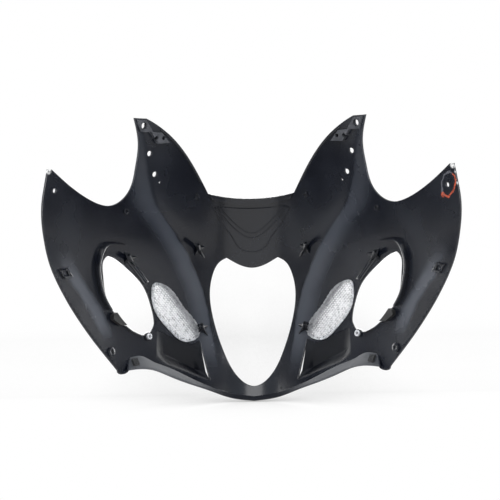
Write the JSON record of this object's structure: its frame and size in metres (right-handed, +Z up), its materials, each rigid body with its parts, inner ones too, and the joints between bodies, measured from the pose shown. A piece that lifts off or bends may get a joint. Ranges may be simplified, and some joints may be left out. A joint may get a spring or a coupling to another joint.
{
  "type": "motorbike upper fairing",
  "caption": "Front cowl for a sports motorbike, with a round-sided headlamp opening, turn-lamp openings, screen arms and meshed air intakes.",
  "frame": {"origin": "on the centre plane, level with the two upper headlamp posts, in the upright plane that the foremost curve of the skin's main form touches; it lies inside the headlamp opening's space, 19 mm ahead of the skin", "axes": "+X to the rider's right as they sit on the bike, +Y forward along the bike, +Z up"},
  "size_m": [0.6086, 0.3601, 0.4968],
  "materials": {
    "shell": "moulded gloss black",
    "mesh": "bright expanded sheet",
    "bracket": "satin grey",
    "collar": "bright",
    "pad": "dull black",
    "foam": "open foam, dull black"
  },
  "bodies": {
    "root": {"cowl_shell": "shell", "intake_mesh_left": "mesh", "intake_mesh_right": "mesh", "arm_bracket_left": "bracket", "arm_bracket_right": "bracket", "lamp_collar_left": "collar", "lamp_collar_right": "collar", "lamp_pad_left": "pad", "lamp_pad_right": "pad", "flange_pad_left": "foam", "flange_pad_right": "foam"}
  },
  "joints": []
}
